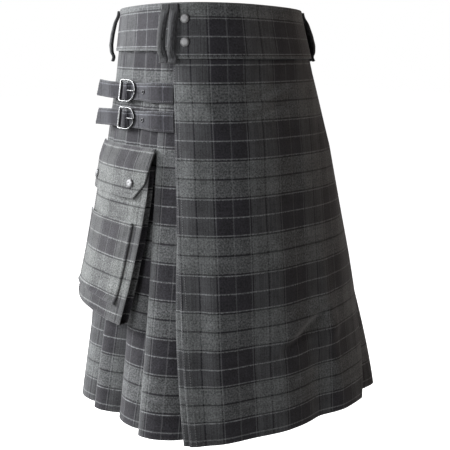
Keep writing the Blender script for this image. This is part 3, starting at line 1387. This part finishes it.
# height, front edge, back edge, face out, back out, how far the face leans in
# towards its back edge, how much higher that edge is
POCKET = np.array(
    [
        (-0.424, 80.8, 123.4, 0.0230, 0.0084, 0.0000, 0.015),
        (-0.360, 77.2, 124.6, 0.0186, 0.0052, 0.0025, 0.004),
        (-0.294, 74.0, 125.6, 0.0150, 0.0030, 0.0050, 0.000),
        (-0.240, 71.8, 126.6, 0.0132, 0.0018, 0.0065, 0.000),
        (-0.196, 70.9, 127.3, 0.0116, 0.0013, 0.0060, 0.000),
    ]
)
POCKET_TOP, POCKET_BOTTOM = -0.196, -0.424
POCKET_FRONT, POCKET_BACK = 70.9, 127.3  # its edges at the top
POCKET_CROWN = 0.002
GUSSET_TUCK = 0.008  # how deep the gussets' crease folds in
FACE_POINTS, GUSSET_POINTS = 53, 7  # points across the face and round each gusset
BASE_CHECK = 0.0145  # length of the check across the base
# height, front edge, back edge, face out, crown, lean
FLAP = np.array(
    [
        (-0.243, 78.8, 120.6, 0.0179, 0.002, 0.0065),
        (-0.220, 72.4, 126.8, 0.0160, 0.002, 0.0065),
        (-0.196, 70.2, 128.0, 0.0148, 0.002, 0.0060),
        (-0.185, 70.2, 128.0, 0.0098, 0.001, 0.0032),
        (-0.172, 70.4, 128.0, 0.0035, 0.000, 0.0005),
    ]
)
FLAP_TOP, FLAP_BOTTOM, FLAP_FRONT, FLAP_WALL = -0.172, -0.243, 70.2, 0.0026
PANEL_TOP, PANEL_BOTTOM, PANEL_INSET, PANEL_WALL = -0.277, -0.397, 4.8, 0.0016
PANEL_WIDTH = 0.13
POCKET_CHECK_U = 0.040  # cloth from the lengthwise light line to the front edge
FLAP_CHECK_SHIFT, PANEL_CHECK_SHIFT = 0.008, 0.010  # further cloth to their front edges
# heights of the charcoal's light line, not matched to the pleats behind
BAG_CHECK, FLAP_CHECK = -0.3055, -0.177


def pocket_value(z, k):
    return np.interp(z, POCKET[:, 0], POCKET[:, k])


def lateness(away):
    """Share of the way from the pocket's front edge to its back edge."""
    return np.clip((away - POCKET_FRONT) / (POCKET_BACK - POCKET_FRONT), 0.0, 1.0)


def pocket_height(away, z):
    return z + pocket_value(z, 6) * lateness(away) ** 2


def on_pocket(side, away, z, lift):
    lean = pocket_value(z, 5) * lateness(away) ** 2
    return at(side * away, pocket_height(away, z), lean - lift)


def face_lift(away, z):
    """How far the bag's face stands out: crowned, and a little dented where it sags."""
    full = (away - pocket_value(z, 1)) / (pocket_value(z, 2) - pocket_value(z, 1))
    sag = 0.0012 * ramp(-0.25, -0.42, z) * np.sin(full * math.pi * 3.0 + 0.6)
    dent = (sag + 0.0006 * np.sin(z * 60 + full * 7)) * np.sin(np.clip(full, 0.0, 1.0) * math.pi)
    return pocket_value(z, 3) + POCKET_CROWN * np.sin(math.pi * lateness(away)) + dent


def on_flap(side, away, z, lift=0.0):
    """Point of the flap's outer face, or a lift outside it."""
    face = smooth_table(FLAP[:, [0, 3]], z) + 0.0007 * np.sin(away * 0.16 + 1.0) * ramp(-0.19, -0.24, z)
    crown = smooth_table(FLAP[:, [0, 4]], z) * np.sin(math.pi * lateness(away))
    lean = smooth_table(FLAP[:, [0, 5]], z) * lateness(away) ** 2
    return at(side * away, z, lean - face - crown - lift)


POCKET_WOOL = wool("pocket_wool", tint=(1.0, 1.0, 0.97), shade=1.16, heather=1.1)


def pocket_bag(side, where):
    """One ring of cloth at each height: the face, the back gusset, the back, the front gusset."""
    across = np.linspace(0.0, 1.0, FACE_POINTS)
    steps = np.linspace(0.0, 1.0, GUSSET_POINTS + 2)[1:-1]
    rings, uvs = [], []
    for z in stations(POCKET_TOP, POCKET_BOTTOM, 0.0040):
        front, back = float(pocket_value(z, 1)), float(pocket_value(z, 2))
        behind, lean = float(pocket_value(z, 4)) + WOOL / 2, float(pocket_value(z, 5))
        az = mix(front, back, across)
        lift = face_lift(az, z) - WOOL / 2
        face = on_pocket(side, az, z, lift)
        rear = at(side * az[::-1], pocket_height(az[::-1], z), -behind)
        tuck = GUSSET_TUCK * np.sin(steps * math.pi) * (0.5 + 0.5 * float(ramp(-0.25, -0.42, z)))
        tuck = tuck / float(per_degree(z))
        face_end = lift[-1] - lean * lateness(back) ** 2
        back_gusset = at(side * (back - tuck), pocket_height(back, z), -mix(face_end, behind, steps))
        front_gusset = at(side * (front + tuck), z, -mix(behind, lift[0], steps))
        ring = np.concatenate([face, back_gusset, rear, front_gusset, face[:1]])
        rings.append(ring)
        uvs.append(np.stack([POCKET_CHECK_U + along(ring), ring[:, 2] - BAG_CHECK], -1))
    rings, uvs = np.array(rings), np.array(uvs)
    bag = shell(f"pocket_bag_{where}_cloth", *outside(rings, uvs), WOOL)
    cloth(
        bag,
        [f"pocket_bag_{where}"],
        "tartan_wool",
        POCKET_WOOL,
        flat=(0.40, 0.232),
        held="folded",
        rests_on=[f"{where}_pleats_cloth"],
    )
    # the base closes the lowest ring from its face to its back
    base_t = np.linspace(0.0, 1.0, 9)
    rear_from = FACE_POINTS + GUSSET_POINTS
    face_low = rings[-1, :FACE_POINTS]
    rear_low = rings[-1, rear_from : rear_from + FACE_POINTS][::-1]
    base_points = np.array([mix(face_low, rear_low, t) for t in base_t])
    base_u = np.broadcast_to(uvs[-1, :FACE_POINTS, 0], base_points.shape[:2])
    base_v = uvs[-1, :FACE_POINTS, 1] - BASE_CHECK * base_t[:, None]
    base = shell(f"pocket_base_{where}_cloth", base_points, np.stack([base_u, base_v], -1), WOOL)
    cloth(
        base,
        [],
        "tartan_wool",
        POCKET_WOOL,
        flat=(0.16, 0.0155),
        held="folded",
        rests_on=[f"pocket_bag_{where}_cloth"],
    )


def pocket_panel(side, where):
    """The panel on the bag's face. Its folded hem stands up, inside it the cloth is full."""
    rows = stations(PANEL_TOP, PANEL_BOTTOM, 0.0040)
    t = stations(0.0, 1.0, 1.0 / 44, 0.006)
    z = rows[:, None] + 0.0 * t[None, :]
    az = mix(pocket_value(z, 1) + PANEL_INSET, pocket_value(z, 2) - PANEL_INSET, t[None, :])
    from_side = np.minimum(t[None, :], 1 - t[None, :]) * PANEL_WIDTH
    edge = np.minimum(from_side, np.minimum(rows[0] - z, z - rows[-1]))
    puff = 0.0016 * np.exp(-(((edge - 0.0035) / 0.0025) ** 2)) + 0.0012 * ramp(0.006, 0.016, edge)
    puff = puff + 0.0030 * ramp(0.007, 0.0, z - PANEL_BOTTOM) + 0.0018 * ramp(0.006, 0.0, PANEL_TOP - z)
    points = on_pocket(side, az, z, face_lift(az, z) + SEAM + 0.0001 + PANEL_WALL / 2 + puff)
    u = POCKET_CHECK_U + along(points) + PANEL_CHECK_SHIFT
    uvs = np.stack([u, pocket_height(az, z) - BAG_CHECK], -1)
    panel = shell(f"pocket_panel_{where}_cloth", *outside(points, uvs), PANEL_WALL)
    cloth(
        panel,
        [f"pocket_panel_{where}"],
        "tartan_wool",
        POCKET_WOOL,
        flat=(0.133, 0.124),
        held="stretched",
        rests_on=[f"pocket_bag_{where}_cloth"],
    )


def pocket_flap(side, where):
    """The doubled flap with its cut corners."""
    rows = stations(FLAP_TOP, FLAP_BOTTOM, 0.0030)
    t = stations(0.0, 1.0, 1.0 / 56, 0.006)
    z = rows[:, None] + 0.0 * t[None, :]
    front, back = np.interp(z, FLAP[:, 0], FLAP[:, 1]), np.interp(z, FLAP[:, 0], FLAP[:, 2])
    az = mix(front, back, t[None, :])
    u = POCKET_CHECK_U + FLAP_CHECK_SHIFT + (az - FLAP_FRONT) * per_degree(z)
    uvs = np.stack([u, z - FLAP_CHECK], -1)
    points = on_flap(side, az, z, -FLAP_WALL / 2)
    flap = shell(f"pocket_flap_{where}_cloth", *outside(points, uvs), FLAP_WALL)
    cloth(
        flap,
        [f"pocket_flap_{where}"],
        "tartan_wool",
        POCKET_WOOL,
        flat=(0.170, 0.160),
        held="folded",
        rests_on=[f"pocket_bag_{where}_cloth"],
        area=0.0125,
    )


for side, where in HIPS:
    pocket_bag(side, where)
    pocket_panel(side, where)
    pocket_flap(side, where)

# Stitching
# Machine topstitching in grey thread: along the apron's and the facing's
# edges, round the waistband, the loops, the straps and the pockets' parts.
APRON_SEAMS, FACING_SEAM = (0.0022, 0.0085), 0.0024  # from their free edges
FACING_SEAM_TOP = -0.330
BAND_SEAM, BAND_SEAM_LOW = 0.0040, 0.0036  # from the rim and from the lower edge
BAND_SEAM_FROM, BAND_SEAM_TO = -61.2, 296.0
LAP_SEAM_AZ, LAP_SEAM_BOTTOM = -61.0, -0.041  # down the end that laps over
LOOP_SEAM = 0.34  # share of a loop's width from its middle
STRAP_SEAMS = (0.10, 0.90)  # shares of a strap's width
STRAP_SEAM_RUNS = ((0.001, 0.026), (0.060, STRAP_TAIL - 0.004))  # on the hip, past the buckle
PANEL_SEAM = 0.0072  # from the panel's edges
PALE_THREAD, DARK_THREAD = (0.26, 0.265, 0.27), (0.075, 0.075, 0.08)


def thread(name, colour):
    material = bpy.data.materials.new(name)
    material.use_nodes = True
    tree = material.node_tree
    skin = tree.nodes["Principled BSDF"]
    where = node(tree, "ShaderNodeTexCoord")
    ply = node(tree, "ShaderNodeTexNoise")
    feed(tree, ply.inputs["Vector"], where.outputs["Object"])
    ply.inputs["Scale"].default_value = 2200.0
    tone = blend_colours(tree, "MIX", ply.outputs[0], colour + (1.0,), (0.03, 0.03, 0.03, 1.0))
    feed(tree, skin.inputs["Base Color"], tone)
    skin.inputs["Roughness"].default_value = 0.7
    skin.inputs["Sheen Weight"].default_value = 0.3
    return material


def stitch_tree():
    """Sets one stitch at each pitch along lines whose points know which way is outwards."""
    tree = bpy.data.node_groups.new("running_stitch", "GeometryNodeTree")
    face = tree.interface
    face.new_socket("Geometry", in_out="INPUT", socket_type="NodeSocketGeometry")
    for key in ("Pitch", "Length", "Width", "Rise"):
        face.new_socket(key, in_out="INPUT", socket_type="NodeSocketFloat")
    face.new_socket("Thread", in_out="INPUT", socket_type="NodeSocketMaterial")
    face.new_socket("Geometry", in_out="OUTPUT", socket_type="NodeSocketGeometry")
    start, end = node(tree, "NodeGroupInput"), node(tree, "NodeGroupOutput")
    curve = node(tree, "GeometryNodeMeshToCurve")
    feed(tree, curve.inputs["Mesh"], start.outputs["Geometry"])
    spaced = node(tree, "GeometryNodeResampleCurve", mode="LENGTH")
    feed(tree, spaced.inputs["Curve"], curve.outputs[0])
    feed(tree, spaced.inputs["Length"], start.outputs["Pitch"])
    bead = node(tree, "GeometryNodeMeshUVSphere")
    bead.inputs["Segments"].default_value = 6
    bead.inputs["Rings"].default_value = 4
    bead.inputs["Radius"].default_value = 0.5
    outward = node(tree, "GeometryNodeInputNamedAttribute", data_type="FLOAT_VECTOR")
    outward.inputs["Name"].default_value = "out"
    upright = node(tree, "FunctionNodeAlignRotationToVector", axis="Z")
    feed(tree, upright.inputs["Vector"], outward.outputs["Attribute"])
    run = node(tree, "GeometryNodeInputTangent")
    turned = node(tree, "FunctionNodeAlignRotationToVector", axis="X", pivot_axis="Z")
    feed(tree, turned.inputs["Rotation"], upright.outputs[0])
    feed(tree, turned.inputs["Vector"], run.outputs[0])
    uneven = node(tree, "FunctionNodeRandomValue", data_type="FLOAT")
    uneven.inputs[2].default_value = 0.88
    uneven.inputs[3].default_value = 1.12
    uneven.inputs["Seed"].default_value = 7
    size = node(tree, "ShaderNodeCombineXYZ")
    length = node(tree, "ShaderNodeMath", operation="MULTIPLY")
    feed(tree, length.inputs[0], start.outputs["Length"])
    feed(tree, length.inputs[1], uneven.outputs[1])
    feed(tree, size.inputs[0], length.outputs[0])
    feed(tree, size.inputs[1], start.outputs["Width"])
    feed(tree, size.inputs[2], start.outputs["Rise"])
    placed = node(tree, "GeometryNodeInstanceOnPoints")
    feed(tree, placed.inputs["Points"], spaced.outputs[0])
    feed(tree, placed.inputs["Instance"], bead.outputs["Mesh"])
    feed(tree, placed.inputs["Rotation"], turned.outputs[0])
    feed(tree, placed.inputs["Scale"], size.outputs[0])
    real = node(tree, "GeometryNodeRealizeInstances")
    feed(tree, real.inputs[0], placed.outputs[0])
    coloured = node(tree, "GeometryNodeSetMaterial")
    feed(tree, coloured.inputs["Geometry"], real.outputs[0])
    feed(tree, coloured.inputs["Material"], start.outputs["Thread"])
    feed(tree, end.inputs[0], coloured.outputs[0])
    return tree


STITCH_TREE = stitch_tree()


def stitches(name, lines, material, pitch=0.0034, length=0.0025, width=0.0007, rise=0.0006):
    """One plain mesh of all the stitches along lines of (points, outward directions)."""
    verts, outs, edges = [], [], []
    for points, out in lines:
        first = len(verts)
        verts += list(points)
        outs += list(out)
        edges += [(first + i, first + i + 1) for i in range(len(points) - 1)]
    guide_mesh = bpy.data.meshes.new(name + "_guide")
    guide_mesh.from_pydata([tuple(v) for v in verts], edges, [])
    stored = guide_mesh.attributes.new("out", "FLOAT_VECTOR", "POINT")
    stored.data.foreach_set("vector", np.asarray(outs, np.float32).ravel())
    guide = bpy.data.objects.new(name + "_guide", guide_mesh)
    bpy.context.collection.objects.link(guide)
    modifier = guide.modifiers.new("stitch", "NODES")
    modifier.node_group = STITCH_TREE
    wanted = {"Pitch": pitch, "Length": length, "Width": width, "Rise": rise, "Thread": material}
    for item in STITCH_TREE.interface.items_tree:
        if item.in_out == "INPUT" and item.name in wanted:
            modifier[item.identifier] = wanted[item.name]
    bpy.context.view_layer.update()
    seen = guide.evaluated_get(bpy.context.evaluated_depsgraph_get())
    mesh = bpy.data.meshes.new_from_object(seen)
    mesh.name = name
    bpy.data.objects.remove(guide)
    bpy.data.meshes.remove(guide_mesh)
    mesh.polygons.foreach_set("use_smooth", np.ones(len(mesh.polygons), dtype=bool))
    piece = bpy.data.objects.new(name, mesh)
    bpy.context.collection.objects.link(piece)
    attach(piece, "root")
    return piece


def line_on(surface, az, z, lift=0.00005, side=1):
    """Line on a surface given as a function of azimuth and height, and its outward directions."""
    az, z = np.broadcast_arrays(np.asarray(az, float), np.asarray(z, float))
    across = (surface(az + 0.4, z) - surface(az - 0.4, z)) * side
    up = surface(az, z + 0.001) - surface(az, z - 0.001)
    out = np.cross(across, up)
    out /= np.linalg.norm(out, axis=-1, keepdims=True)
    return surface(az, z) + out * lift, out


def apron_surface(az, z):
    return at(az, z, apron_depth(az, z) - apron_stands(az, z) - WOOL / 2)


def facing_surface(az, z):
    return at(az, z, facing_depth(az, z) - WOOL / 2)


def band_surface(az, z):
    return at(az, z, -band_out(az) - 0.0002)


THREAD_PALE = thread("pale_thread", PALE_THREAD)
THREAD_DARK = thread("dark_thread", DARK_THREAD)

run_z = np.linspace(APRON_TOP - 0.008, HEM + 0.003, 150)
edge_lines = []
for inset in APRON_SEAMS:
    edge_lines.append(line_on(apron_surface, apron_right(run_z) + inset / per_degree(run_z), run_z))
low_z = np.linspace(FACING_SEAM_TOP, HEM + 0.003, 80)
edge_lines.append(line_on(facing_surface, facing_right(low_z) + FACING_SEAM / per_degree(low_z), low_z))
stitches("apron_stitching", edge_lines, THREAD_PALE)

band_run = np.linspace(BAND_SEAM_FROM, BAND_SEAM_TO, 420)
band_low = np.interp(band_run, BAND[:, 0], BAND[:, 2])
lap_z = np.linspace(RIM - BAND_SEAM, LAP_SEAM_BOTTOM, 30)
band_lines = [
    line_on(band_surface, band_run, RIM - BAND_SEAM + 0 * band_run),
    line_on(band_surface, band_run, band_low + BAND_SEAM_LOW),
    line_on(band_surface, LAP_SEAM_AZ + 0 * lap_z, lap_z),
]
stitches("waistband_stitching", band_lines, THREAD_PALE)

loop_lines = []
run = np.linspace(LOOP_TOP - 0.0015, LOOP_BOTTOM + 0.0015, 60)
for number, (loop_name, loop_az, loop_seat) in enumerate(LOOPS):
    bow, width, lean = loop_form(run, number)
    side, out = loop_axes(loop_az)
    for place in (-LOOP_SEAM, LOOP_SEAM):
        stands = loop_seat + SEAM + LOOP_THICK + bow + 0.0001 + loop_curl(place, bow)
        points = at(loop_az, run, -stands) + side * (place * width + lean)[:, None]
        outwards = np.cross(np.broadcast_to(side, points.shape), np.gradient(points, axis=0))
        outwards *= np.sign(outwards @ out)[:, None]
        outwards /= np.linalg.norm(outwards, axis=1, keepdims=True)
        loop_lines.append((points, outwards))
stitches("loop_stitching", loop_lines, THREAD_DARK, pitch=0.0030, length=0.0022, width=0.0006)

strap_lines = []
for strap_name, strap_top, strap_bottom, strap_leave, turn_up in STRAPS:
    for s in STRAP_SEAMS:
        away, hip_z = strap_on_hip(strap_top, strap_bottom, strap_leave, s)
        strap_lines.append(line_on(strap_surface, -away, hip_z))
        z = mix(strap_top, strap_bottom, s)
        for first, last in STRAP_SEAM_RUNS:
            run = np.linspace(first, last, 20)
            points, out = strap_past_hip(strap_leave, z, s, run, 0.0 * run, DOUBLE / 2, turn_up)
            strap_lines.append((points, np.broadcast_to(out, points.shape)))
stitches("strap_stitching", strap_lines, THREAD_DARK, pitch=0.0032, length=0.0024)


def runs_between(corners, step=0.003):
    """Points along straight runs between (azimuth, height) corners."""
    points = []
    for (az0, z0), (az1, z1) in zip(corners[:-1], corners[1:]):
        unit = float(per_degree((z0 + z1) / 2))
        count = max(2, int(math.hypot((az1 - az0) * unit, z1 - z0) / step))
        points += [(mix(az0, az1, k / count), mix(z0, z1, k / count)) for k in range(count)]
    points.append(corners[-1])
    return np.array(points)


# azimuth and height of the corners of the seams on the flap and the bag
FLAP_RUN = runs_between(
    [
        (71.8, -0.178),
        (72.2, -0.192),
        (74.6, -0.2185),
        (80.4, -0.2375),
        (119.0, -0.2375),
        (124.6, -0.2185),
        (126.6, -0.192),
        (126.6, -0.178),
    ]
)
FLAP_TOP_RUN = runs_between([(71.4, -0.1755), (127.0, -0.1755)])
BAG_RUN = runs_between(
    [
        (72.6, -0.246),
        (74.6, -0.294),
        (77.8, -0.360),
        (81.2, -0.4205),
        (122.8, -0.4205),
        (124.0, -0.360),
        (125.0, -0.294),
        (126.0, -0.246),
    ]
)
panel_low, panel_high = PANEL_BOTTOM + PANEL_SEAM, PANEL_TOP - PANEL_SEAM
panel_corners = []
for z, edge, inwards in (
    (panel_high, 1, 1),
    (panel_low, 1, 1),
    (panel_low, 2, -1),
    (panel_high, 2, -1),
    (panel_high, 1, 1),
):
    trim = (PANEL_INSET + PANEL_SEAM / float(per_degree(z))) * inwards
    panel_corners.append((float(pocket_value(z, edge)) + trim, z))
PANEL_RUN = runs_between(panel_corners)
pocket_lines = []
for side, _ in HIPS:

    def flap_surface(az, z):
        return on_flap(side, az, z)

    def panel_surface(az, z):
        return on_pocket(side, az, z, face_lift(az, z) + SEAM + PANEL_WALL + 0.0006)

    def bag_surface(az, z):
        return on_pocket(side, az, z, face_lift(az, z) + 0.0002)

    for surface, run in (
        (flap_surface, FLAP_RUN),
        (flap_surface, FLAP_TOP_RUN),
        (panel_surface, PANEL_RUN),
        (bag_surface, BAG_RUN),
    ):
        pocket_lines.append(line_on(surface, run[:, 0], run[:, 1], side=side))
stitches("pocket_stitching", pocket_lines, THREAD_DARK)

# Snaps
# Domed nickel caps pressed through the cloth: two on the waistband's lap and
# two on each pocket flap. The flap's caps have a dimple in the middle.
SNAP_RADIUS, SNAP_EDGE, SNAP_HEIGHT = 0.0068, 0.0010, 0.0031
SNAP_METAL = metal("snap_nickel", (0.30, 0.30, 0.305), (0.18, 0.18, 0.18), 0.62)
POCKET_SNAP_METAL = metal("pocket_snap_nickel", (0.21, 0.21, 0.215), (0.13, 0.13, 0.13), 0.62)
BAND_SNAPS = [("waist_snap_upper", 0.010), ("waist_snap_lower", -0.022)]
BAND_SNAP_AZ = -53.6
POCKET_SNAPS = [("front", 81.5), ("back", 117.5)]
POCKET_SNAP_Z = -0.222


def snap(name, point, direction, material, dimple):
    profile = [
        (0.0, 0.0),
        (SNAP_RADIUS * 0.97, 0.0),
        (SNAP_RADIUS, 0.0003),
        (SNAP_RADIUS, SNAP_EDGE * 0.8),
        (SNAP_RADIUS * 0.97, SNAP_EDGE * 1.3),
        (SNAP_RADIUS * 0.90, SNAP_HEIGHT * 0.66),
        (SNAP_RADIUS * 0.78, SNAP_HEIGHT * 0.82),
        (SNAP_RADIUS * 0.60, SNAP_HEIGHT * 0.93),
        (SNAP_RADIUS * 0.38, SNAP_HEIGHT * 0.985),
    ]
    if dimple:
        profile += [
            (SNAP_RADIUS * 0.25, SNAP_HEIGHT * 0.97),
            (SNAP_RADIUS * 0.17, SNAP_HEIGHT * 0.88),
            (0.0, SNAP_HEIGHT * 0.85),
        ]
    else:
        profile += [(SNAP_RADIUS * 0.18, SNAP_HEIGHT * 0.998), (0.0, SNAP_HEIGHT)]
    hardware(f"{name}_cap", [lathe(profile, point, direction)], [name], material)


def band_face(az, z):
    return at(az, z, -band_out(az))


for snap_name, snap_z in BAND_SNAPS:
    point, direction = seat(band_face, BAND_SNAP_AZ, snap_z, SEAM + 0.0002)
    snap(snap_name, point, direction, SNAP_METAL, False)
for side, where in HIPS:

    def flap_face(az, z):
        return on_flap(side, side * az, z)

    for spot, snap_az in POCKET_SNAPS:
        point, direction = seat(flap_face, side * snap_az, POCKET_SNAP_Z, SEAM)
        snap(f"pocket_snap_{where}_{spot}", point, direction, POCKET_SNAP_METAL, True)
